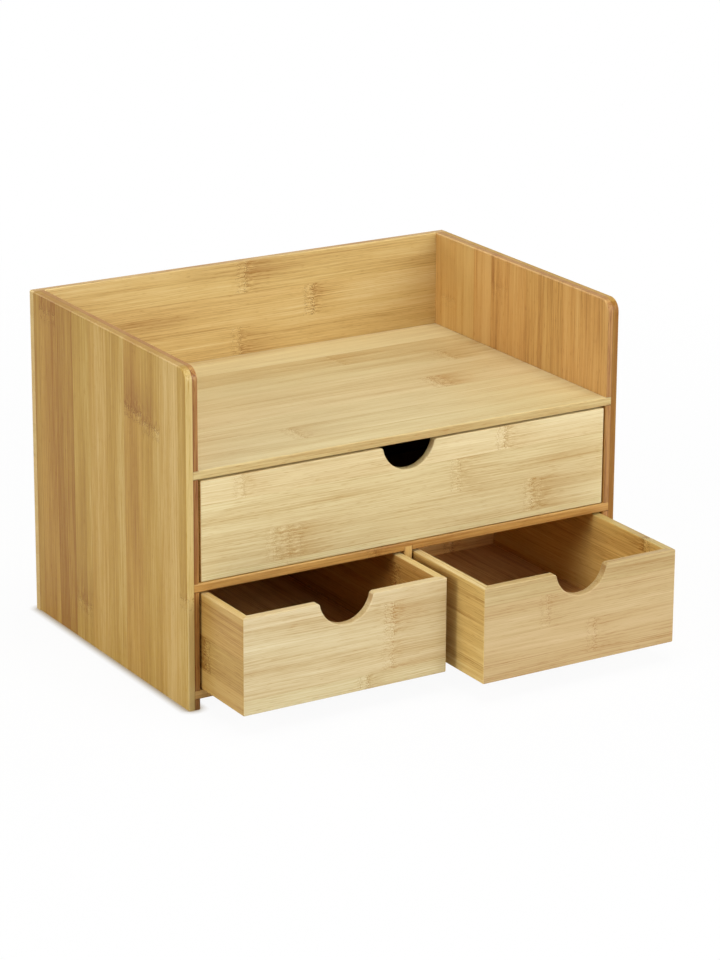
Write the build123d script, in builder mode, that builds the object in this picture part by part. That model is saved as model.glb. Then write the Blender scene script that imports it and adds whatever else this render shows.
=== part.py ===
from build123d import *
import os

os.makedirs("parts", exist_ok=True)

# Desktop mini drawers in bamboo: a case with an open tray on top, one wide drawer and two small ones.
# X runs to the right and Z up. The drawers open towards -Y. The origin is on the desk, at the middle
# of the case's rear face. All lengths are in millimetres.

# Case
case_width = 330.0  # over both side panels
case_depth = 220.0  # from the front edges to the rear face
side_thickness = 9.0
shelf_thickness = 6.0
divider_thickness = 6.0
back_thickness = 6.0
foot_height = 7.0  # from the desk to the underside of the bottom shelf
lower_bay_height = 66.5
upper_bay_height = 69.0
tray_wall_height = 67.5  # from the top shelf to the top of the sides and back
dado_depth = 4.0  # how far the shelf ends are let into the side panels
divider_housing_depth = 3.0  # how far the divider is let into the shelves
front_corner_radius = 9.0  # the rounded top front corner of each side panel
side_easing = 1.2  # rounded arrises of the side panels
shelf_easing = 1.0  # rounded arrises of the shelves, the divider and the back panel

# Drawers
board_thickness = 6.0  # front, sides and back of a drawer
bottom_thickness = 3.0
groove_depth = 3.0  # the groove that holds the bottom panel
groove_clearance = 0.2  # between the bottom panel's edge and the floor of its groove
groove_height = 4.0  # from the drawer's lower edge to the underside of its bottom panel
corner_easing = 1.0  # rounded upright corners of a drawer
board_easing = 0.8  # rounded arrises of a drawer's boards
notch_radius = 20.0
notch_rise = 2.5  # how far the notch's centre lies above the front's top edge
notch_shoulder_radius = 2.5

# Room for the drawers to slide
under_clearance = 0.4  # between a drawer's lower edge and the shelf that carries it
top_clearance = 1.2
side_clearance = 1.2
rear_clearance = 0.4  # behind a closed drawer
front_recess = 0.3  # how far a closed drawer's front lies behind the shelf edges

# How far each drawer stands open
wide_drawer_open = 0.0
left_drawer_open = 54.0
right_drawer_open = 85.0

# Levels and planes that follow from the sizes above
case_front = -case_depth
back_panel_front = -back_thickness
inner_depth = case_depth - back_thickness
inner_middle_y = (case_front + back_panel_front) / 2
inner_width = case_width - 2 * side_thickness
bottom_shelf_level = foot_height
lower_bay_floor = bottom_shelf_level + shelf_thickness
middle_shelf_level = lower_bay_floor + lower_bay_height
upper_bay_floor = middle_shelf_level + shelf_thickness
top_shelf_level = upper_bay_floor + upper_bay_height
case_height = top_shelf_level + shelf_thickness + tray_wall_height


def save(piece, name):
    """Label a finished piece and write it to its own file."""
    piece.part.label = name
    export_step(piece.part, f"parts/{name}.step")
    print(name, [round(length, 2) for length in piece.part.bounding_box().size])


def make_side_panel(name, side):
    """A side panel, from the back panel to the front; side is -1 for the left and 1 for the right."""
    middle_x = side * (case_width - side_thickness) / 2
    inner_face_x = side * inner_width / 2
    with BuildPart() as panel:
        with BuildSketch(Plane.YZ.offset(middle_x)):
            with Locations((back_panel_front, 0)):
                Rectangle(inner_depth, case_height, align=(Align.MAX, Align.MIN))
            top_front_corner = vertices().group_by(Axis.X)[0].sort_by(Axis.Y)[-1]
            fillet(top_front_corner, front_corner_radius)
        extrude(amount=side_thickness / 2, both=True)
        # every arris of the two broad faces is eased but the rear one, which meets the back panel
        broad_faces = panel.faces().filter_by(Axis.X)
        rear_arrises = broad_faces.edges().group_by(Axis.Y)[-1]
        fillet(broad_faces.edges() - rear_arrises, side_easing)
        shelf_levels = (bottom_shelf_level, middle_shelf_level, top_shelf_level)
        with Locations([(inner_face_x, inner_middle_y, level) for level in shelf_levels]):
            Box(
                2 * dado_depth,
                inner_depth,
                shelf_thickness,
                align=(Align.CENTER, Align.CENTER, Align.MIN),
                mode=Mode.SUBTRACT,
            )
    save(panel, name)


make_side_panel("left_side_panel", -1)
make_side_panel("right_side_panel", 1)

# The back panel covers the sides from the desk to the top. Its top corners continue the easing of the
# side panels' outer arrises, and its front arris is eased between the side panels only.
with BuildPart() as back_panel:
    with BuildSketch(Plane.XZ):
        Rectangle(case_width, case_height, align=(Align.CENTER, Align.MIN))
        fillet(vertices().group_by(Axis.Y)[-1], side_easing)
    extrude(amount=back_thickness)
    rear_face = back_panel.faces().sort_by(Axis.Y)[-1]
    fillet(rear_face.edges(), shelf_easing)
    with BuildSketch(Plane.YZ):
        with Locations((back_panel_front, case_height)):
            Rectangle(shelf_easing, shelf_easing, align=(Align.MIN, Align.MAX))
        with Locations((back_panel_front + shelf_easing, case_height - shelf_easing)):
            Circle(shelf_easing, mode=Mode.SUBTRACT)
    extrude(amount=inner_width / 2, both=True, mode=Mode.SUBTRACT)
save(back_panel, "back_panel")


def make_shelf(name, level, houses_divider):
    """A shelf with its ends in the side panels' dadoes, from the back panel to the front."""
    with BuildPart() as shelf:
        with BuildSketch(Plane.XY.offset(level)):
            with Locations((0, inner_middle_y)):
                Rectangle(inner_width + 2 * dado_depth, inner_depth)
        extrude(amount=shelf_thickness)
        front_arrises = shelf.edges().filter_by(Axis.X).group_by(Axis.Y)[0]
        fillet(front_arrises, shelf_easing)
        if houses_divider:
            with Locations((0, inner_middle_y, lower_bay_floor + lower_bay_height / 2)):
                housings_height = lower_bay_height + 2 * divider_housing_depth
                Box(divider_thickness, inner_depth, housings_height, mode=Mode.SUBTRACT)
    save(shelf, name)


make_shelf("bottom_shelf", bottom_shelf_level, houses_divider=True)
make_shelf("middle_shelf", middle_shelf_level, houses_divider=True)
make_shelf("top_shelf", top_shelf_level, houses_divider=False)

with BuildPart() as drawer_divider:
    with BuildSketch(Plane.XY.offset(lower_bay_floor - divider_housing_depth)):
        with Locations((0, inner_middle_y)):
            Rectangle(divider_thickness, inner_depth)
    extrude(amount=lower_bay_height + 2 * divider_housing_depth)
    divider_front_arrises = drawer_divider.edges().filter_by(Axis.Z).group_by(Axis.Y)[0]
    fillet(divider_front_arrises, shelf_easing)
save(drawer_divider, "drawer_divider")


def make_drawer(drawer_name, bay_middle_x, bay_width, bay_floor, bay_height, opened):
    """The five boards of one drawer, fitted to its bay and pulled out by the length opened."""
    width = bay_width - 2 * side_clearance
    height = bay_height - under_clearance - top_clearance
    depth = inner_depth - front_recess - rear_clearance
    left_x = bay_middle_x - width / 2
    right_x = bay_middle_x + width / 2
    front_y = case_front + front_recess - opened
    rear_y = front_y + depth
    middle_y = (front_y + rear_y) / 2
    low_z = bay_floor + under_clearance
    top_z = low_z + height
    groove_inset = board_thickness - groove_depth
    footprint_plane = Plane.XY.offset(low_z)
    left_mitre = Plane(origin=(left_x, front_y, low_z), z_dir=(1, -1, 0))
    right_mitre = Plane(origin=(right_x, front_y, low_z), z_dir=(-1, -1, 0))

    # the drawer's outline, whose four upright corners are rounded, trims the front and the sides
    with BuildSketch(footprint_plane) as outline:
        with Locations((bay_middle_x, middle_y)):
            RectangleRounded(width, depth, corner_easing)

    # one layer cut out of all four boards is the groove for the bottom panel
    with BuildSketch(footprint_plane.offset(groove_height)) as groove:
        with Locations((bay_middle_x, middle_y)):
            Rectangle(width - 2 * groove_inset, depth - 2 * groove_inset)

    # the front, with its finger notch, mitred at both ends
    with BuildPart() as front:
        with BuildSketch(Plane.XZ.offset(-front_y - board_thickness)):
            with Locations((bay_middle_x, low_z)):
                Rectangle(width, height, align=(Align.CENTER, Align.MIN))
            with Locations((bay_middle_x, top_z + notch_rise)):
                Circle(notch_radius, mode=Mode.SUBTRACT)
            notch_shoulders = vertices().group_by(Axis.Y)[-1].sort_by(Axis.X)[1:3]
            fillet(notch_shoulders, notch_shoulder_radius)
        extrude(amount=board_thickness)
        extrude(outline.sketch, amount=height, mode=Mode.INTERSECT)
        outer_face = front.faces().filter_by(Axis.Y).sort_by(Axis.Y)[0]
        inner_face = front.faces().filter_by(Axis.Y).sort_by(Axis.Y)[-1]
        inner_lower_arris = inner_face.edges().group_by(Axis.Z)[0]
        face_arrises = outer_face.edges() + inner_face.edges() - inner_lower_arris
        fillet(face_arrises - face_arrises.filter_by(Axis.Z), board_easing)
        extrude(groove.sketch, amount=bottom_thickness, mode=Mode.SUBTRACT)
        split(bisect_by=left_mitre, keep=Keep.TOP)
        split(bisect_by=right_mitre, keep=Keep.TOP)
    save(front, f"{drawer_name}_front")

    # the sides, mitred to the front
    for side_name, edge_x, thickness_align, mitre in (
        ("left_side", left_x, Align.MIN, left_mitre),
        ("right_side", right_x, Align.MAX, right_mitre),
    ):
        with BuildPart() as side:
            with BuildSketch(footprint_plane):
                with Locations((edge_x, front_y)):
                    Rectangle(board_thickness, depth, align=(thickness_align, Align.MIN))
            extrude(amount=height)
            extrude(outline.sketch, amount=height, mode=Mode.INTERSECT)
            outer_face = side.faces().filter_by(Axis.X).sort_by(lambda f: abs(f.center().X - edge_x))[0]
            top_arrises = side.faces().sort_by(Axis.Z)[-1].edges().filter_by(Axis.Y)
            outer_lower_arris = outer_face.edges().group_by(Axis.Z)[0]
            fillet(top_arrises + outer_lower_arris, board_easing)
            extrude(groove.sketch, amount=bottom_thickness, mode=Mode.SUBTRACT)
            split(bisect_by=mitre, keep=Keep.BOTTOM)
        save(side, f"{drawer_name}_{side_name}")

    # the back, between the sides
    with BuildPart() as back:
        with BuildSketch(footprint_plane):
            with Locations((bay_middle_x, rear_y)):
                Rectangle(width - 2 * board_thickness, board_thickness, align=(Align.CENTER, Align.MAX))
        extrude(amount=height)
        long_edges = back.edges().filter_by(Axis.X)
        top_arrises = long_edges.group_by(Axis.Z)[-1]
        outer_lower_arris = long_edges.group_by(Axis.Z)[0].sort_by(Axis.Y)[-1]
        fillet([*top_arrises, outer_lower_arris], board_easing)
        extrude(groove.sketch, amount=bottom_thickness, mode=Mode.SUBTRACT)
    save(back, f"{drawer_name}_back")

    # the bottom panel, held in the grooves
    with BuildPart() as bottom:
        with BuildSketch(footprint_plane.offset(groove_height)):
            with Locations((bay_middle_x, middle_y)):
                panel_inset = groove_inset + groove_clearance
                Rectangle(width - 2 * panel_inset, depth - 2 * panel_inset)
        extrude(amount=bottom_thickness)
    save(bottom, f"{drawer_name}_bottom")


small_bay_width = (inner_width - divider_thickness) / 2
small_bay_middle = (small_bay_width + divider_thickness) / 2

make_drawer("wide_drawer", 0, inner_width, upper_bay_floor, upper_bay_height, wide_drawer_open)
make_drawer("left_drawer", -small_bay_middle, small_bay_width, lower_bay_floor, lower_bay_height, left_drawer_open)
make_drawer("right_drawer", small_bay_middle, small_bay_width, lower_bay_floor, lower_bay_height, right_drawer_open)
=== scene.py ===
# %% [markdown]
# # Desktop mini drawers in bamboo board
#
# The real thing is a small case for pens, paper and odds and ends: an open tray on top, one
# wide drawer under it and two small drawers at the bottom, all cut from glued bamboo board.
# Every board is already there as a solid from the drawing program, so nothing is moved or
# reshaped here. What this lesson adds is the look: how bamboo board is put together from strips,
# how light falls on it, and where the camera stands.

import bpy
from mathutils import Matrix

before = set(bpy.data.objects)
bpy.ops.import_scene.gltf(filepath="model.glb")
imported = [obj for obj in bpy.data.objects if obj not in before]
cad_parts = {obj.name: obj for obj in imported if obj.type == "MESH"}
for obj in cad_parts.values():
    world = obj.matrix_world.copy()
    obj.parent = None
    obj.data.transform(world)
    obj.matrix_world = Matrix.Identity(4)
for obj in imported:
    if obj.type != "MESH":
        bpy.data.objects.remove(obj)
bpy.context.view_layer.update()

# %% The other tools
import math
import random

import bpy
from mathutils import Matrix, Vector

MM = 0.001

# %% [markdown]
# ## Short words for wiring a material
#
# A material is a small machine of nodes: numbers and colours go in on the left and a surface
# comes out on the right. It could be clicked together in the shader editor. Bamboo needs the same
# few steps for 22 boards, so it is quicker and safer to name each step once and write the
# machines as short lines. A term is either a fixed number or the output of an earlier node.

# %% Words for sums and mixing
def feed(tree, sockets, terms):
    """Give each socket its term: a link if it comes from a node, a fixed value if not."""
    for socket, term in zip(sockets, terms):
        if isinstance(term, bpy.types.NodeSocket):
            tree.links.new(term, socket)
        else:
            socket.default_value = term


def calc(tree, operation, *terms, clamp=False):
    step = tree.nodes.new("ShaderNodeMath")
    step.operation = operation
    step.use_clamp = clamp
    feed(tree, step.inputs, terms)
    return step.outputs[0]


def ease(tree, value, low, high):
    """0 below low, 1 above high, and a soft S-curve between them."""
    step = tree.nodes.new("ShaderNodeMapRange")
    step.interpolation_type = "SMOOTHSTEP"
    feed(tree, step.inputs, (value, low, high, 0.0, 1.0))
    return step.outputs[0]


def blend(tree, share, first, second, kind="MIX"):
    step = tree.nodes.new("ShaderNodeMix")
    step.data_type = "RGBA"
    step.blend_type = kind
    # This node has a set of sockets for each kind of value. These are the ones for colours.
    feed(tree, [step.inputs[place] for place in (0, 6, 7)], (share, first, second))
    return step.outputs[2]


print("words for sums and mixing:", [word.__name__ for word in (feed, calc, ease, blend)])

# %% Words for places and noise
def point(tree, *terms):
    step = tree.nodes.new("ShaderNodeCombineXYZ")
    feed(tree, step.inputs, terms)
    return step.outputs[0]


def parts(tree, vector):
    step = tree.nodes.new("ShaderNodeSeparateXYZ")
    tree.links.new(vector, step.inputs[0])
    return dict(zip("xyz", step.outputs))


def drawn_out(tree, place, length, width, detail=0.0):
    """Noise from about -0.5 to 0.5 whose blots are length along the grain and width across it,
    in the unit that place is in."""
    squeeze = tree.nodes.new("ShaderNodeVectorMath")
    squeeze.operation = "MULTIPLY"
    squeeze.inputs[1].default_value = (1.0 / length, 1.0 / width, 1.0 / width)
    tree.links.new(place, squeeze.inputs[0])
    cloud = tree.nodes.new("ShaderNodeTexNoise")
    cloud.inputs["Scale"].default_value = 1.0
    cloud.inputs["Detail"].default_value = detail
    tree.links.new(squeeze.outputs[0], cloud.inputs["Vector"])
    return calc(tree, "SUBTRACT", cloud.outputs[0], 0.5)


print("words for places and noise:", [word.__name__ for word in (point, parts, drawn_out)])

# %% Words for groups
def new_group(name, inputs, outputs):
    """A machine to be used many times, and the sockets inside it for what goes in and out."""
    group = bpy.data.node_groups.new(name, "ShaderNodeTree")
    for label in inputs:
        group.interface.new_socket(label, in_out="INPUT", socket_type="NodeSocketFloat")
    for label, kind in outputs.items():
        group.interface.new_socket(label, in_out="OUTPUT", socket_type="NodeSocket" + kind)
    given = group.nodes.new("NodeGroupInput").outputs
    result = group.nodes.new("NodeGroupOutput").inputs
    return group, given, result


def use_group(tree, group, *terms):
    step = tree.nodes.new("ShaderNodeGroup")
    step.node_tree = group
    feed(tree, step.inputs, terms)
    return step.outputs


print("words for groups:", [word.__name__ for word in (new_group, use_group)])

# %% A word for colours
def tint(red, green, blue):
    """A colour as a paint program shows it, 0 to 255, turned into the light values Blender mixes."""
    def light(value):
        value /= 255.0
        return value / 12.92 if value <= 0.04045 else ((value + 0.055) / 1.055) ** 2.4
    return light(red), light(green), light(blue), 1.0


WHITE = (1.0, 1.0, 1.0, 1.0)
print("a pale bamboo, in light values:", [round(v, 3) for v in tint(209, 185, 135)])

# %% [markdown]
# ## Fibres
#
# A bamboo culm is a bundle of long straight fibres. Planed flat they show as fine streaks: hair
# lines that run most of the board, shorter strokes about a millimetre wide, soft bands a few
# millimetres wide, broad faint clouds, and little dark dashes where a vessel was cut open. A
# picture of wood could be laid on the board, but it would stretch at the edges. Noise in three
# dimensions, drawn out along the grain, runs through the board like real fibre, so faces, edges
# and ends all agree.

# %% The fibre group
CULM_LENGTH = 731.0      # mm along the culm from lot 0 to lot 1
WANDER = (80.0, 18.0)    # mm, the length and width over which fibres stray sideways
EDDY = (6.0, 5.0)        # the same for their swirl round a knuckle
STRAY = 2.4              # mm, about twice as far as they stray
STREAKS = (              # length and width in mm, fine detail, weight
    (170.0, 0.65, 1.0, 0.70),    # hair lines
    (26.0, 0.85, 2.0, 0.50),     # strokes
    (85.0, 4.2, 1.0, 0.40),      # bands
    (200.0, 13.0, 0.0, 0.46),    # broad clouds
)
VESSEL = (7.0, 0.5)          # mm, the length and width of the dashes
VESSEL_RANGE = (0.16, 0.27)  # only the strongest of this noise becomes a dash
GRIT = (1.0, 0.75, 1.0)      # specks of a knuckle: length and width in mm, fine detail
LENS = (4.5, 0.95, 1.0)      # the lens-shaped flecks round it

fibres, given, result = new_group(
    "fibres",
    ["Along", "Across", "Depth", "Lot", "Swirl"],
    {"Streak": "Float", "Dash": "Float", "Grit": "Float", "Lens": "Float"},
)
apart = calc(fibres, "MULTIPLY", given["Lot"], CULM_LENGTH)
along = calc(fibres, "ADD", given["Along"], apart)
straight = point(fibres, along, given["Across"], given["Depth"])
wander = drawn_out(fibres, straight, *WANDER)
eddy = calc(fibres, "MULTIPLY", drawn_out(fibres, straight, *EDDY), given["Swirl"])
bent = calc(fibres, "MULTIPLY_ADD", wander, STRAY, given["Across"])
bent = calc(fibres, "MULTIPLY_ADD", eddy, STRAY, bent)
place = point(fibres, along, bent, given["Depth"])

streak = 0.0
for length, width, detail, weight in STREAKS:
    blots = drawn_out(fibres, place, length, width, detail)
    streak = calc(fibres, "MULTIPLY_ADD", blots, weight, streak)
dash = ease(fibres, drawn_out(fibres, place, *VESSEL), *VESSEL_RANGE)
grit = drawn_out(fibres, straight, *GRIT)
lens = drawn_out(fibres, place, *LENS)
feed(fibres, result, (streak, dash, grit, lens))
print("fibre group:", len(fibres.nodes), "nodes")

# %% [markdown]
# ## Knuckles
#
# Bamboo is jointed. Where a joint of the culm is planed through, the strip shows a short rung of
# dark and pale specks across its width, with the fibres swirling round it and often a brown smear
# on one side. The rung stops dead at the glue line, because the next strip comes from another
# place on the culm. Each knuckle is placed one by one, where this kind of board shows it.

# %% The knuckle group
FADE = 0.5               # mm, how softly a knuckle stops at the glue line
KINKS = (1.0, 5.0, 1.0)  # the bends of a rung: length and width in mm, fine detail
CROOKED = 5.0            # mm, about twice as far as they take it along the strip
RUNG = 1.9               # mm, about half the thickness of a rung
SECOND_RUNG = 1.6        # the same for the fainter one beside it,
SECOND_AWAY = 5.5        # this many mm away
SECOND_STRENGTH = 0.55
HALO = 8.0               # mm, how far the swirl reaches
SMEAR = 26.0             # mm, how far the brown smear reaches
SMEAR_START = (-1.0, 2.0)    # mm from the rung, where it sets in and where it is full

knuckle, given, result = new_group(
    "knuckle",
    ["Along", "Across", "At", "Middle", "Half", "Strength"],
    {"Rung": "Float", "Halo": "Float", "Smear": "Float"},
)


def bell(value, width):
    """A bell curve, 1 where value is 0 and gone about two widths away."""
    scaled = calc(knuckle, "DIVIDE", value, width)
    squared = calc(knuckle, "MULTIPLY", scaled, scaled)
    return calc(knuckle, "EXPONENT", calc(knuckle, "MULTIPLY", squared, -1.0))


off = calc(knuckle, "SUBTRACT", given["Along"], given["At"])
aside = calc(knuckle, "ABSOLUTE", calc(knuckle, "SUBTRACT", given["Across"], given["Middle"]))
spare = calc(knuckle, "SUBTRACT", given["Half"], aside)
inside = calc(knuckle, "MULTIPLY", ease(knuckle, spare, 0.0, FADE), given["Strength"])
level = point(knuckle, given["At"], given["Across"], given["At"])
crooked = calc(knuckle, "MULTIPLY_ADD", drawn_out(knuckle, level, *KINKS), CROOKED, off)

second = bell(calc(knuckle, "ADD", crooked, SECOND_AWAY), SECOND_RUNG)
second = calc(knuckle, "MULTIPLY", second, SECOND_STRENGTH)
rung = calc(knuckle, "ADD", bell(crooked, RUNG), second)
smear = calc(knuckle, "MULTIPLY", ease(knuckle, crooked, *SMEAR_START), bell(off, SMEAR))
for label, mark in (("Rung", rung), ("Halo", bell(off, HALO)), ("Smear", smear)):
    feed(knuckle, [result[label]], [calc(knuckle, "MULTIPLY", mark, inside)])
print("knuckle group:", len(knuckle.nodes), "nodes")

# %% [markdown]
# ## Finishes
#
# The boards aren't all one colour. The drawer fronts and the tray's floor are pale, the back, the
# lower shelves and the inner boards of the drawers are warmer, and the case sides are glued from
# two layers, an olive one outside and a browner one inside. Under a thin satin lacquer a streak is
# never just darker, it is also more orange, so each finish is a ramp from its deep colour to its
# pale one. An eased arris is made paler, partly as sanded wear and partly as a painted highlight.
# End grain is darker, because open fibre ends drink the lacquer.

# %% One group per finish
LENS_TONE = 1.1          # what each part of a knuckle adds to the tone
PALE_DOT_TONE = 0.13
HALO_TONE = -0.05
SMEAR_TONE = -0.20
PALE_DOTS = (0.05, 0.14)     # where the specks' noise makes a pale dot
DARK_DOTS = (-0.02, -0.09)   # and where a dark one
STAIN_SHARE = 0.85       # how much of the rung's, the end's and the arris's colour shows
END_SHARE = 0.6
# The arris's paler colour is partly sanded wear and partly a painted highlight.
ARRIS_WEAR_AND_HIGHLIGHT_SHARE = 0.15
ROUGHNESS = 0.50         # at tone 0, and what is added per unit of tone, end grain and stain
TONE_ROUGHNESS = -0.12
END_ROUGHNESS = 0.18
STAIN_ROUGHNESS = 0.10
TONE_HEIGHT = 0.5        # how a pale fibre stands up and a dark speck lies low
STAIN_HEIGHT = -0.06


def make_finish(name, deep, middle, pale, rung_colour, end_colour):
    """deep, middle and pale are the colours of the tones 0, 0.5 and 1. The other two are those of
    a rung's dark specks and of end grain."""
    group, given, result = new_group(
        name,
        ["Tone", "Rung", "Halo", "Smear", "Grit", "Lens", "End", "Arris"],
        {"Colour": "Color", "Roughness": "Float", "Height": "Float"},
    )
    ramp = group.nodes.new("ShaderNodeValToRGB")
    stops = ramp.color_ramp.elements
    stops[0].position = 0.0
    stops[0].color = tint(*deep)
    stops[1].position = 1.0
    stops[1].color = tint(*pale)
    stops.new(0.5).color = tint(*middle)

    lens = calc(group, "MULTIPLY", given["Lens"], given["Halo"])
    pale_dot = calc(group, "MULTIPLY", ease(group, given["Grit"], *PALE_DOTS), given["Halo"])
    lit = calc(group, "MULTIPLY_ADD", lens, LENS_TONE, given["Tone"])
    lit = calc(group, "MULTIPLY_ADD", pale_dot, PALE_DOT_TONE, lit)
    lit = calc(group, "MULTIPLY_ADD", given["Halo"], HALO_TONE, lit)
    lit = calc(group, "MULTIPLY_ADD", given["Smear"], SMEAR_TONE, lit)
    group.links.new(lit, ramp.inputs[0])

    dark_dot = calc(group, "MULTIPLY", given["Rung"], ease(group, given["Grit"], *DARK_DOTS))
    stain = calc(group, "MULTIPLY", dark_dot, STAIN_SHARE, clamp=True)
    end_share = calc(group, "MULTIPLY", given["End"], END_SHARE)
    wear_and_highlight_share = calc(group, "MULTIPLY", given["Arris"], ARRIS_WEAR_AND_HIGHLIGHT_SHARE)
    colour = blend(group, stain, ramp.outputs[0], tint(*rung_colour))
    colour = blend(group, end_share, colour, tint(*end_colour))
    # Paler arris: partly sanded wear, partly a painted highlight.
    colour = blend(group, wear_and_highlight_share, colour, tint(*pale))

    rough = calc(group, "MULTIPLY_ADD", given["Tone"], TONE_ROUGHNESS, ROUGHNESS)
    rough = calc(group, "MULTIPLY_ADD", given["End"], END_ROUGHNESS, rough)
    rough = calc(group, "MULTIPLY_ADD", stain, STAIN_ROUGHNESS, rough)
    raised = calc(group, "MULTIPLY", given["Tone"], TONE_HEIGHT)
    raised = calc(group, "MULTIPLY_ADD", stain, STAIN_HEIGHT, raised)
    feed(group, result, (colour, rough, raised))
    return group


pale_finish = make_finish(
    "pale bamboo", (176, 134, 74), (209, 185, 135), (228, 210, 166), (164, 115, 50), (168, 124, 66)
)
warm_finish = make_finish(
    "warm bamboo", (158, 108, 48), (206, 166, 98), (224, 194, 134), (126, 78, 30), (180, 142, 82)
)
olive_finish = make_finish(
    "olive bamboo", (146, 97, 20), (183, 145, 64), (216, 188, 134), (112, 70, 26), (170, 132, 68)
)
brown_finish = make_finish(
    "brown bamboo", (128, 74, 32), (198, 152, 88), (216, 180, 118), (112, 66, 28), (140, 92, 48)
)
print("finishes:", [g.name for g in (pale_finish, warm_finish, olive_finish, brown_finish)])

# %% [markdown]
# ## From strips to a board
#
# A board is strips about 23 mm wide, glued edge to edge, each from a different culm. So the tone
# jumps at every glue line and the fibres never run over it. The strip's number comes from how far
# across the board a point lies. A ramp with hard steps gives each number its own tone and lot,
# and a thin dark line marks the glue. The lot also says which way the strip's hue leans.

# %% The tones of the strips
def mixed_tones(count, seed, middle=0.5, spread=0.09):
    """A tone round the middle one and a lot from 0 to 1 for each strip."""
    dice = random.Random(seed)
    return [(middle + dice.uniform(-spread, spread), dice.random()) for _ in range(count)]


def strip_ramp(tree, number, tones):
    """The tone and the lot of the strip with this number."""
    ramp = tree.nodes.new("ShaderNodeValToRGB")
    ramp.color_ramp.interpolation = "CONSTANT"
    stops = ramp.color_ramp.elements
    stops.remove(stops[1])
    for index, (tone, lot) in enumerate(tones):
        stop = stops[0] if index == 0 else stops.new(index / len(tones))
        stop.position = index / len(tones)
        stop.color = (tone, lot, 0.0, 1.0)
    feed(tree, ramp.inputs, [calc(tree, "DIVIDE", calc(tree, "ADD", number, 0.5), len(tones))])
    split = tree.nodes.new("ShaderNodeSeparateColor")
    tree.links.new(ramp.outputs[0], split.inputs[0])
    return split.outputs[0], split.outputs[1]


print("tones, for example:", [round(t, 2) for t, _ in mixed_tones(6, "example")])

# %% One layer of strips
GREENER = (0.98, 1.0, 0.96, 1.0)     # what the colour is multiplied by at lot 0
REDDER = (1.02, 0.99, 0.98, 1.0)     # and at lot 1
DASH_TONE = -0.16        # what a dash and a glue line add to the tone
GLUE_TONE = -0.18
GLUE_LINE = 0.35         # mm, how far the dark of a glue line reaches to either side


def strip_layer(tree, run, finish, strips, knuckles, normal):
    """Colour, roughness and height of bamboo strips, with all distances in mm. run is how far
    along, across and through the board. strips is their width, where the first one starts, and
    their tones. A knuckle is where it lies along and across the board, and its strength."""
    along, across, depth = run
    width, first, tones = strips
    ending, arris, edge_tone = normal
    count = calc(tree, "DIVIDE", calc(tree, "SUBTRACT", across, first), width)
    tone, lot = strip_ramp(tree, calc(tree, "FLOOR", count), tones)

    marks = {"Rung": 0.0, "Halo": 0.0, "Smear": 0.0}
    for at, level, strength in knuckles:
        middle = first + (math.floor((level - first) / width) + 0.5) * width
        mark = use_group(tree, knuckle, along, across, at, middle, width / 2, strength)
        for label in marks:
            marks[label] = calc(tree, "ADD", marks[label], mark[label])
    grain = use_group(tree, fibres, along, across, depth, lot, marks["Halo"])
    tone = calc(tree, "ADD", grain["Streak"], tone)
    tone = calc(tree, "MULTIPLY_ADD", grain["Dash"], DASH_TONE, tone)
    from_glue = calc(tree, "ABSOLUTE", calc(tree, "SUBTRACT", calc(tree, "FRACT", count), 0.5))
    glue = ease(tree, from_glue, 0.5 - GLUE_LINE / width, 0.5)
    tone = calc(tree, "MULTIPLY_ADD", glue, GLUE_TONE, tone)
    tone = calc(tree, "ADD", tone, edge_tone)
    skin = use_group(tree, finish, tone, marks["Rung"], marks["Halo"], marks["Smear"],
                     grain["Grit"], grain["Lens"], ending, arris)
    cast = blend(tree, lot, GREENER, REDDER)
    return blend(tree, 1.0, skin["Colour"], cast, "MULTIPLY"), skin["Roughness"], skin["Height"]


print("a glue line is", 2 * GLUE_LINE, "mm wide")

# %% [markdown]
# ## One material per board
#
# Object coordinates give each point's real place in metres, and every board knows its grain: up
# the sides and the divider, along the shelves, the back and the drawer fronts, and front to back
# on the drawer sides. The normal says which way a face looks. Where it looks along the grain it
# is end grain, and where it leans between two faces it is an eased arris. The long narrow edges
# show the strips from their side, so they may be paler or deeper than the face, and of another
# shade. Where the tray's walls stand on its floor, a thin dark line runs along them, partly glue
# and partly painted shade in the corner. A thin satin lacquer lies over everything, and the
# fibres stand up a little in it.

# %% Which way a face looks
END_GRAIN = (0.80, 0.97)     # how squarely a face must look along the grain to be end grain
NARROW = (0.40, 0.80)        # and how squarely across it to be one of the long narrow edges
ARRIS_GAIN = 4.0             # makes a face that leans half way count in full


def face_marks(tree, normal, grain, across, thin):
    """From 0 to 1: end grain, arris, narrow edge, broad face."""
    facing = {axis: calc(tree, "ABSOLUTE", out) for axis, out in parts(tree, normal).items()}
    broad = facing[thin]
    lean = calc(tree, "MULTIPLY", broad, calc(tree, "SUBTRACT", 1.0, broad))
    arris = calc(tree, "MULTIPLY", lean, ARRIS_GAIN, clamp=True)
    ending = ease(tree, facing[grain], *END_GRAIN)
    return ending, arris, ease(tree, facing[across], *NARROW), broad


print("end grain starts", round(math.degrees(math.acos(END_GRAIN[0]))), "degrees off the grain")

# %% Glue between layers and boards, and painted shade in the tray's corners
GLUE_AND_SHADE_COLOUR = tint(120, 78, 36)
PLY_LINE = 160.1         # mm, how far from the middle of the case the layers of a side meet
PLY_SOFTNESS = 0.15      # mm
PLY_GLUE = (0.35, 0.05)  # mm from the line, where its glue ends and where it is darkest
PLY_GLUE_SHARE = 0.5
# The dark line along a wall is partly glue and partly painted shade in the corner.
GLUE_AND_SHADE_REACH = (0.7, 0.1)        # mm from a wall, where its seam ends and where it is darkest
GLUE_AND_SHADE_SHARE = 0.6


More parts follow.
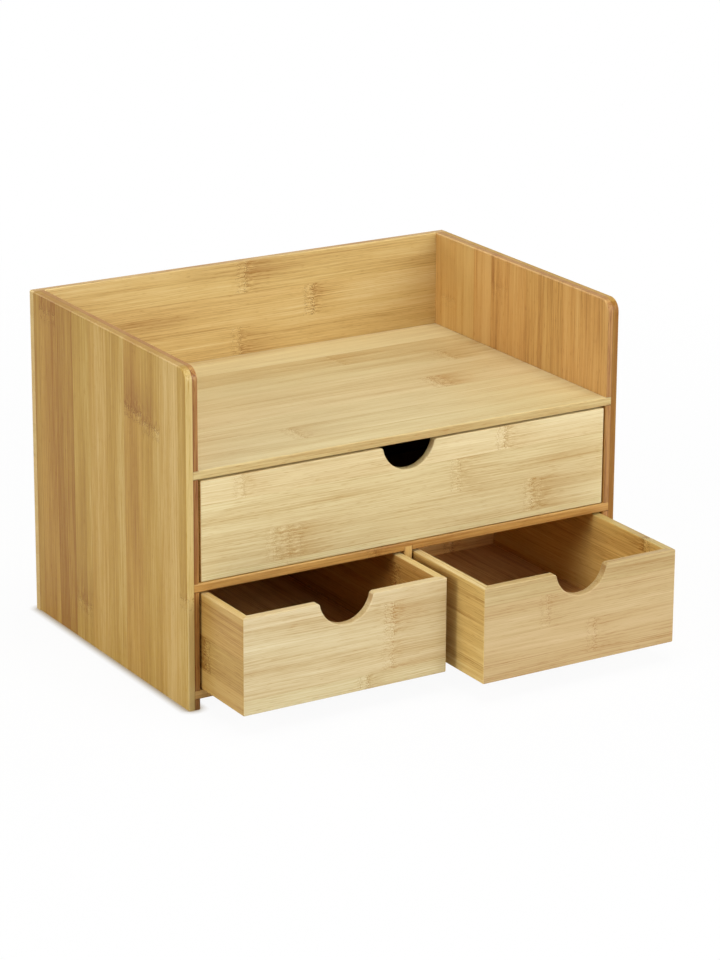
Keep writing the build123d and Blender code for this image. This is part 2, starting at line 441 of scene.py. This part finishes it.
def two_layers(tree, through, colour, inner_colour):
    """The inner colour on the inner side of the ply line, and a line of glue between the two."""
    from_middle = calc(tree, "ABSOLUTE", through)
    inside = ease(tree, from_middle, PLY_LINE + PLY_SOFTNESS, PLY_LINE - PLY_SOFTNESS)
    colour = blend(tree, inside, colour, inner_colour)
    off_line = calc(tree, "ABSOLUTE", calc(tree, "SUBTRACT", from_middle, PLY_LINE))
    glue = calc(tree, "MULTIPLY", ease(tree, off_line, *PLY_GLUE), PLY_GLUE_SHARE)
    return blend(tree, glue, colour, GLUE_AND_SHADE_COLOUR)


def glue_and_painted_shade_at_walls(tree, run, broad, walls, colour):
    """A dark line of glue and painted shade where other boards stand on this one: at both ends,
    walls[0] from the middle, and along the rear, at walls[1]."""
    side_wall, rear_wall = walls
    ends = ease(tree, calc(tree, "ABSOLUTE", run[0]), side_wall - GLUE_AND_SHADE_REACH[0], side_wall - GLUE_AND_SHADE_REACH[1])
    rear = ease(tree, run[1], rear_wall - GLUE_AND_SHADE_REACH[0], rear_wall - GLUE_AND_SHADE_REACH[1])
    glue_and_shade_mask = calc(tree, "MULTIPLY", calc(tree, "MAXIMUM", ends, rear), broad)
    return blend(tree, calc(tree, "MULTIPLY", glue_and_shade_mask, GLUE_AND_SHADE_SHARE), colour, GLUE_AND_SHADE_COLOUR)


print("ply line of the side panels:", PLY_LINE, "mm from the middle of the case")

# %% Satin lacquer
LACQUER = {"IOR": 1.45, "Specular IOR Level": 0.3, "Coat Weight": 0.10, "Coat Roughness": 0.32}
RELIEF = {"Strength": 0.2, "Distance": 0.15 * MM}


def lacquered(tree, colour, rough, height):
    shader = tree.nodes.new("ShaderNodeBsdfPrincipled")
    relief = tree.nodes.new("ShaderNodeBump")
    for node, settings in ((shader, LACQUER), (relief, RELIEF)):
        for label, value in settings.items():
            node.inputs[label].default_value = value
    feed(tree, [relief.inputs["Height"]], [height])
    feed(tree, [shader.inputs["Base Color"], shader.inputs["Roughness"]], [colour, rough])
    tree.links.new(relief.outputs[0], shader.inputs["Normal"])
    output = tree.nodes.new("ShaderNodeOutputMaterial")
    tree.links.new(shader.outputs[0], output.inputs[0])


print("lacquer:", LACQUER)

# %% Dress one board
INNER_EDGE = -0.32       # the inner layer is deeper on its edge than on its face
PLAIN = (1.0, 1.0, 1.0)
dressed = []


def board_material(name, axes, layers, shade, edge_lift, edge_shade, walls):
    """axes names the board's axes along, across and through it. Each layer is a finish, its
    strips and its knuckles. shade multiplies the colour: on most boards it is the board's own
    cast, on the drawers' backs and bottoms it is painted light. On the narrow edges edge_lift makes
    it paler, or deeper if it is below 0, and edge_shade multiplies it once more. walls is None or
    says where other boards stand on this one, for a line of glue and painted shade there."""
    material = bpy.data.materials.new(name + "_bamboo")
    material.use_nodes = True
    tree = material.node_tree
    tree.nodes.clear()
    where = tree.nodes.new("ShaderNodeTexCoord")
    place = parts(tree, where.outputs["Object"])
    run = [calc(tree, "MULTIPLY", place[axis], 1.0 / MM) for axis in axes]
    ending, arris, narrow, broad = face_marks(tree, where.outputs["Normal"], *axes)

    skins = []
    for layer, lift in zip(layers, (edge_lift, INNER_EDGE)):
        edge_tone = calc(tree, "MULTIPLY", narrow, lift)
        skins.append(strip_layer(tree, run, *layer, (ending, arris, edge_tone)))
    colour, rough, height = skins[0]
    if len(skins) == 2:
        colour = two_layers(tree, run[2], colour, skins[1][0])
    if walls:
        colour = glue_and_painted_shade_at_walls(tree, run, broad, walls, colour)
    colour = blend(tree, 1.0, colour, (*shade, 1.0), "MULTIPLY")
    colour = blend(tree, narrow, colour, (*edge_shade, 1.0), "MULTIPLY")
    lacquered(tree, colour, rough, height)
    return material


def dress_board(name, axes, *layers, shade=PLAIN, edge_lift=0.0, edge_shade=PLAIN, walls=None):
    material = board_material(name, axes, layers, shade, edge_lift, edge_shade, walls)
    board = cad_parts[name]
    for slot in board.material_slots:
        slot.material = material
    if not board.material_slots:
        board.data.materials.append(material)
    dressed.append(name)


print("boards to dress:", len(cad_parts))

# %% [markdown]
# ## The case sides
#
# Each side is two layers with the grain upright. On the left one the strips have a rhythm that
# is easy to see: pale olive in front, two joined knuckles a little below the top, a browner
# strip towards the back. The inner layer is browner all over, and shows on the inside faces and
# as the inner half of the front edge.

# %% Case sides
outside_tones = [
    (0.55, 0.11), (0.60, 0.62), (0.48, 0.33), (0.44, 0.84), (0.52, 0.27), (0.50, 0.71),
    (0.43, 0.05), (0.13, 0.49), (0.26, 0.93), (0.38, 0.38),
]
inside_tones = mixed_tones(7, "inside layer", middle=0.53, spread=0.07)
inside_tones += mixed_tones(4, "inside layer, rear", middle=0.66, spread=0.05)
outside_strips = (24.4, -234.0, outside_tones)
right_strips = (24.4, -231.0, mixed_tones(10, "right outside"))
inside_strips = (22.0, -232.0, inside_tones)
left_knuckles = [
    (178.0, -172.0, 1.0), (183.0, -150.0, 1.2), (28.0, -75.0, 0.8), (218.0, -30.0, 0.8),
    (75.0, -215.0, 0.6),
]
right_knuckles = [(92.0, -120.0, 0.9), (40.0, -40.0, 0.7), (170.0, -190.0, 0.8)]
dress_board(
    "left_side_panel", "zyx",
    (olive_finish, outside_strips, left_knuckles),
    (brown_finish, inside_strips, [(190.0, -60.0, 0.5)]),
    shade=(0.94, 0.92, 0.77), edge_lift=0.45,
)
dress_board(
    "right_side_panel", "zyx",
    (olive_finish, right_strips, right_knuckles),
    (brown_finish, inside_strips, [(206.0, -95.0, 0.3), (183.0, -30.0, 0.3)]),
    shade=(1.0, 1.0, 0.95), edge_lift=-0.40, edge_shade=(0.88, 0.83, 0.84),
)
print("dressed:", dressed)

# %% [markdown]
# ## Back, shelves and divider
#
# The back and the shelves have their grain from side to side. The back shows three rungs above
# the tray, one in each strip. The tray's floor is the paler board, with small scattered knuckles,
# and its two rear strips are painted paler still, a painted light for the brighter light at the
# rear of the tray. The divider is a narrow upright board.

# %% Back panel
back_strips = (23.4, -6.0, mixed_tones(11, "back panel", spread=0.07))
back_knuckles = [
    (-1.4, 216.0, 0.9), (53.0, 192.0, 1.0), (-6.0, 170.0, 0.7), (-120.0, 100.0, 0.8),
    (88.0, 55.0, 0.9), (-40.0, 30.0, 0.7), (20.0, 125.0, 0.8),
]
dress_board("back_panel", "xzy", (warm_finish, back_strips, back_knuckles), shade=(1.07, 1.22, 1.48))
print("knuckles in the back:", len(back_knuckles))

# %% Shelves and divider
SHELF_STRIP = 26.0       # mm, the width of the shelves' strips
SHELF_START = -222.0     # mm, where the first one starts
# The two rear strips are paler as painted light, for the brighter light at the rear of the tray.
tray_tones = mixed_tones(7, "tray floor", middle=0.52, spread=0.10) + [(0.72, 0.35), (0.70, 0.60)]
tray_knuckles = [
    (44.0, -48.0, 0.6), (77.0, -130.0, 1.0), (84.0, -142.0, 0.8), (119.0, -90.0, 0.9),
    (-63.0, -186.0, 0.9), (-112.0, -30.0, 0.5),
]
middle_tones = [(0.28, 0.38)] + mixed_tones(8, "middle shelf", middle=0.42)
bottom_tones = mixed_tones(9, "bottom shelf", middle=0.44)
divider_strips = (22.0, -232.0, mixed_tones(11, "divider"))
# walls puts a dark line, partly glue and partly painted shade, along the tray's walls.
dress_board(
    "top_shelf", "xyz",
    (pale_finish, (SHELF_STRIP, SHELF_START, tray_tones), tray_knuckles),
    shade=(1.0, 1.03, 1.02), edge_lift=-0.10, edge_shade=(0.97, 0.92, 0.82), walls=(156.0, -6.0),
)
dress_board(
    "middle_shelf", "xyz",
    (warm_finish, (SHELF_STRIP, SHELF_START, middle_tones), [(-25.0, -218.0, 0.6)]),
    shade=(1.03, 0.98, 0.86), edge_shade=(0.94, 0.89, 0.86),
)
dress_board(
    "bottom_shelf", "xyz",
    (warm_finish, (SHELF_STRIP, SHELF_START, bottom_tones), [(60.0, -140.0, 0.7)]),
)
dress_board(
    "drawer_divider", "zyx",
    (warm_finish, divider_strips, [(50.0, -120.0, 0.6)]),
    shade=(1.20, 1.20, 1.20),
)
print("dressed:", len(dressed))

# %% [markdown]
# ## Drawers
#
# The fronts are the pale boards, with their grain level and their knuckles as rungs one strip
# high. The sides run front to back and are warmer, and the inner backs are like them, but shaded
# lighter: painted light that stands in for the light reaching in under the shelves. Two of the
# thin bottoms have their grain along the drawer, the wide one has it from side to side, and the
# small drawers' bottoms are shaded as painted light for the light bounced round inside them. The
# top edges of the sides have shades of their own. Every board is cut elsewhere from its sheet, so
# its strips start at another height.

# %% A word for a drawer
FRONT_STRIP = 23.2       # mm
INNER_STRIP = 23.0
SIDE_START = 4.0         # mm, how much higher the strips start on the sides
BACK_START = 9.0         # and on the back
FRONT_RIM = (0.95, 0.93, 0.88)   # the top edge of a front is a little deeper than its face


def dress_drawer(drawer, seed, start, knuckles, shades, rims):
    """start is the height in mm where the first strip of the front starts. knuckles and shades
    are listed by board, rims are the shades of the sides' top edges. The back's shade is painted
    light: it makes the back lighter to stand in for the light inside the drawer."""
    strips = (FRONT_STRIP, start, mixed_tones(5, seed + " front", spread=0.07))
    dress_board(
        drawer + "_front", "xzy", (pale_finish, strips, knuckles["front"]),
        shade=shades["front"], edge_shade=FRONT_RIM,
    )
    for side in ("left_side", "right_side"):
        strips = (INNER_STRIP, start + SIDE_START, mixed_tones(5, seed + "_" + side, middle=0.47))
        dress_board(
            drawer + "_" + side, "yzx", (warm_finish, strips, knuckles[side]),
            shade=shades[side], edge_shade=rims[side],
        )
    strips = (INNER_STRIP, start + BACK_START, mixed_tones(5, seed + " back", middle=0.45))
    # The back's shade is painted light, standing in for the light inside the drawer.
    dress_board(
        drawer + "_back", "xzy", (warm_finish, strips, knuckles["back"]), shade=shades["back"]
    )


print("strips of the fronts:", FRONT_STRIP, "mm wide")

# %% Wide drawer
dress_drawer(
    "wide_drawer", "wide", 67.2,
    knuckles={
        "front": [
            (-124.0, 144.0, 0.55), (-101.0, 101.0, 0.5), (-91.0, 101.0, 0.5), (-82.0, 101.0, 0.35),
            (-90.0, 88.0, 0.4), (75.0, 144.0, 0.9), (38.7, 125.0, 0.6), (97.0, 101.0, 0.7),
            (103.0, 101.0, 0.4),
        ],
        "left_side": [(-120.0, 110.0, 0.8)],
        "right_side": [(-80.0, 130.0, 0.8)],
        "back": [(40.0, 120.0, 0.7)],
    },
    shades={
        "front": (1.11, 1.18, 1.24),
        "left_side": PLAIN,
        "right_side": PLAIN,
        # painted light: the back is lighter, for the light inside the drawer
        "back": (1.04, 1.10, 1.20),
    },
    rims={"left_side": (0.96, 1.10, 1.35), "right_side": (0.96, 1.10, 1.35)},
)
print("dressed:", dressed[-4:])

# %% Left drawer
dress_drawer(
    "left_drawer", "left", 0.3,
    knuckles={
        "front": [(-45.0, 58.0, 0.9), (-46.0, 35.0, 0.6), (-64.0, 20.0, 0.9)],
        "left_side": [(-224.0, 50.0, 1.2)],
        "right_side": [(-220.0, 66.0, 1.2)],
        "back": [(-70.0, 60.0, 0.6)],
    },
    shades={
        "front": (0.98, 1.03, 1.14),
        "left_side": (0.78, 0.77, 0.64),
        "right_side": (0.86, 0.76, 0.60),
        # painted light: the back is lighter, for the light inside the drawer
        "back": (1.10, 1.16, 1.30),
    },
    rims={"left_side": (1.19, 1.37, 1.94), "right_side": (1.17, 1.60, 2.55)},
)
print("dressed:", dressed[-4:])

# %% Right drawer
dress_drawer(
    "right_drawer", "right", -3.5,
    knuckles={
        "front": [(54.0, 66.0, 0.5), (91.0, 30.0, 0.6)],
        "left_side": [(-180.0, 40.0, 0.6)],
        "right_side": [(-277.0, 72.0, 1.2)],
        "back": [(113.0, 25.0, 0.9)],
    },
    shades={
        "front": (0.82, 0.77, 0.71),
        "left_side": (1.07, 1.16, 1.20),
        "right_side": (1.18, 1.22, 1.14),
        # painted light: the back is lighter, for the light inside the drawer
        "back": (1.42, 1.42, 1.55),
    },
    rims={"left_side": (1.03, 1.16, 1.64), "right_side": (0.72, 0.80, 0.90)},
)
print("dressed:", dressed[-4:])

# %% Drawer bottoms
BOTTOM_STRIP = 24.0      # mm
# The shades of the small drawers' bottoms are painted light, for the light bounced round inside
# them; the wide drawer's is nearly plain.
for drawer, axes, start, shade in (
    ("wide_drawer", "xyz", -220.0, (1.0, 1.0, 1.05)),
    ("left_drawer", "yxz", -156.0, (1.06, 0.98, 0.98)),
    ("right_drawer", "yxz", 3.0, (1.09, 1.04, 1.15)),
):
    strips = (BOTTOM_STRIP, start, mixed_tones(9, drawer + " bottom", middle=0.44))
    layer = (warm_finish, strips, [(-150.0, start + 70.0, 0.7)])
    dress_board(drawer + "_bottom", axes, layer, shade=shade)
missing = sorted(set(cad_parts) - set(dressed))
print("dressed:", len(dressed), "boards, left bare:", missing)

# %% [markdown]
# ## Floor and background
#
# The picture is a catalogue shot: the object alone on white. A real studio gets that with a sheet
# of paper and a lot of light behind the object. More light would bleach the wood here, so the
# floor and the world simply answer the camera with white, while the wood sees a plain pale
# floor. Near the object the floor keeps a small share of real shading. Along a foot a narrow
# shadow is painted into that white, darker where the wood closes in and tinted warm as if lit by
# the wood.

# %% Floor
FLOOR_SIZE = 24.0        # metres
bpy.ops.object.select_all(action="DESELECT")
bpy.ops.mesh.primitive_plane_add(size=FLOOR_SIZE, location=(0.0, 0.0, 0.0))
floor = bpy.context.object
floor.name = "studio_floor"
print("floor:", FLOOR_SIZE, "m square")

# %% Paper that the wood sees
PAPER = (tint(236, 236, 236), tint(228, 228, 228))
PAPER_FIBRE = 0.02       # metres
PAPER_SHINE = 0.1
PAPER_ROUGHNESS = 0.85
ROUGHNESS_SPREAD = 0.1
paper = bpy.data.materials.new("white_paper")
paper.use_nodes = True
tree = paper.node_tree
tree.nodes.clear()
where = tree.nodes.new("ShaderNodeTexCoord").outputs["Object"]
fibre = drawn_out(tree, where, PAPER_FIBRE, PAPER_FIBRE, 3.0)
matt = tree.nodes.new("ShaderNodeBsdfPrincipled")
matt.inputs["Specular IOR Level"].default_value = PAPER_SHINE
rough = calc(tree, "MULTIPLY_ADD", fibre, ROUGHNESS_SPREAD, PAPER_ROUGHNESS)
feed(tree, [matt.inputs["Base Color"]], [blend(tree, fibre, *PAPER)])
feed(tree, [matt.inputs["Roughness"]], [rough])
floor.data.materials.append(paper)
print("paper:", [round(v, 3) for v in PAPER[0][:3]])

# %% White that the camera sees, with a painted shadow along the feet
REAL_SHADING = 0.06      # the share of real shading that the floor keeps near the object
FULL_WITHIN = 0.35       # metres from the middle of the rear, where it starts to fade
GONE_AT = 0.9            # and where it is gone
# A painted shadow along the feet: how far it reaches, how strong it is, and its warm colour.
PAINTED_SHADOW_REACH = 6.5 * MM       # how far the shadow along a foot reaches
PAINTED_SHADOW_GAIN = 2.0
PAINTED_SHADOW_COLOUR = tint(176, 162, 140)

spot = parts(tree, where)
squares = [calc(tree, "POWER", spot[axis], 2.0) for axis in "xy"]
reach = calc(tree, "SQRT", calc(tree, "ADD", *squares))
shading = calc(tree, "MULTIPLY", ease(tree, reach, GONE_AT, FULL_WITHIN), REAL_SHADING)
contact = tree.nodes.new("ShaderNodeAmbientOcclusion")
contact.inputs["Distance"].default_value = PAINTED_SHADOW_REACH
closed = calc(tree, "SUBTRACT", 1.0, contact.outputs["AO"])
# painted shadow: darkens the white where the wood is close
painted_shadow_share = calc(tree, "MULTIPLY", closed, PAINTED_SHADOW_GAIN, clamp=True)
glow = tree.nodes.new("ShaderNodeEmission")
feed(tree, [glow.inputs[0]], [blend(tree, painted_shadow_share, WHITE, PAINTED_SHADOW_COLOUR)])
seen = tree.nodes.new("ShaderNodeLightPath").outputs["Is Camera Ray"]
whiteness = calc(tree, "MULTIPLY", calc(tree, "SUBTRACT", 1.0, shading), seen)
mixer = tree.nodes.new("ShaderNodeMixShader")
feed(tree, mixer.inputs, [whiteness, matt.outputs[0], glow.outputs[0]])
tree.links.new(mixer.outputs[0], tree.nodes.new("ShaderNodeOutputMaterial").inputs[0])
print("white floor:", len(tree.nodes), "nodes")

# %% World
WORLD_LIGHT = 0.15
world = bpy.data.worlds.new("studio")
bpy.context.scene.world = world
world.use_nodes = True
tree = world.node_tree
tree.nodes.clear()
path = tree.nodes.new("ShaderNodeLightPath").outputs
looked_at = calc(tree, "MAXIMUM", path["Is Camera Ray"], path["Is Glossy Ray"])
looked_at = calc(tree, "MAXIMUM", looked_at, path["Is Transmission Ray"])
strength = calc(tree, "MULTIPLY_ADD", looked_at, 1.0 - WORLD_LIGHT, WORLD_LIGHT)
background = tree.nodes.new("ShaderNodeBackground")
feed(tree, [background.inputs["Color"], background.inputs["Strength"]], [WHITE, strength])
tree.links.new(background.outputs[0], tree.nodes.new("ShaderNodeOutputWorld").inputs[0])
print("soft light from all round:", WORLD_LIGHT)

# %% [markdown]
# ## Lamps
#
# The shadows in the picture tell where the lamps stood. The gap between the two small drawers
# goes dark exactly at the left drawer's front, and the inside of that drawer is bright only near
# its front, so much of the light came from the front and from above. The left side is nearly as
# bright as the fronts, so another lamp stood to the left. All were large, because no shadow has a
# hard edge. One behind and a weaker one on the right keep the faces that the picture doesn't show
# from going dark when the case is turned round.

# %% Lamps
MIDDLE_OF_CASE = (0.0, -0.15, 0.11)
LAMPS = (                # name, place in metres, size in metres, share of white
    ("overhead", (0.0, -0.3, 2.4), 1.2, 0.52),
    ("front", (0.5, -2.3, 0.95), 1.0, 0.37),
    ("right_front", (1.5, -2.0, 0.9), 1.4, 0.24),
    ("left", (-2.4, -0.5, 1.0), 0.8, 0.41),
    ("rear_left", (-1.3, 2.1, 1.4), 1.2, 0.24),
    ("right", (2.4, -0.2, 0.9), 1.0, 0.20),
)


def softbox(name, place, size, share):
    """A square lamp that faces the case. share is how bright it alone makes a white card that
    faces it there, 1 being white."""
    data = bpy.data.lights.new(name, "AREA")
    data.shape = "SQUARE"
    data.size = size
    away = Vector(MIDDLE_OF_CASE) - Vector(place)
    # A card d metres away gets watts / (pi * d * d), and a white one shows 1 / pi of that.
    data.energy = share * math.pi ** 2 * away.length_squared
    lamp = bpy.data.objects.new(name, data)
    lamp.location = place
    lamp.rotation_euler = away.to_track_quat("-Z", "Y").to_euler()
    bpy.context.scene.collection.objects.link(lamp)
    print(name, "power", round(data.energy, 1), "W")


for lamp_settings in LAMPS:
    softbox(*lamp_settings)

# %% [markdown]
# ## Camera
#
# The picture was taken from the left at 31 degrees and a little above, with a long lens. The
# upright edges are parallel in it, so the lens was shifted. A small shift brings the case to the
# right height in the frame here, and the rest is done by tilting the camera down.

# %% Camera
YAW, PITCH, ROLL = (math.radians(angle) for angle in (31.36, 16.43, 0.29))
LENS_LENGTH = 127.34     # mm
CAMERA_PLACE = (-1.1225, -1.9994, 0.8268)    # metres
camera_data = bpy.data.cameras.new("photo_camera")
camera_data.lens = LENS_LENGTH
camera_data.sensor_width = 36.0
camera_data.shift_y = -0.12
camera_data.clip_end = 100.0
camera = bpy.data.objects.new("photo_camera", camera_data)
camera.location = CAMERA_PLACE
aim = Matrix.Rotation(-YAW, 3, "Z") @ Matrix.Rotation(math.pi / 2 - PITCH, 3, "X")
camera.rotation_euler = (aim @ Matrix.Rotation(ROLL, 3, "Z")).to_euler()
bpy.context.scene.collection.objects.link(camera)
bpy.context.scene.camera = camera
bpy.context.scene.view_settings.view_transform = "Standard"
print("camera:", [round(v, 3) for v in camera.location])
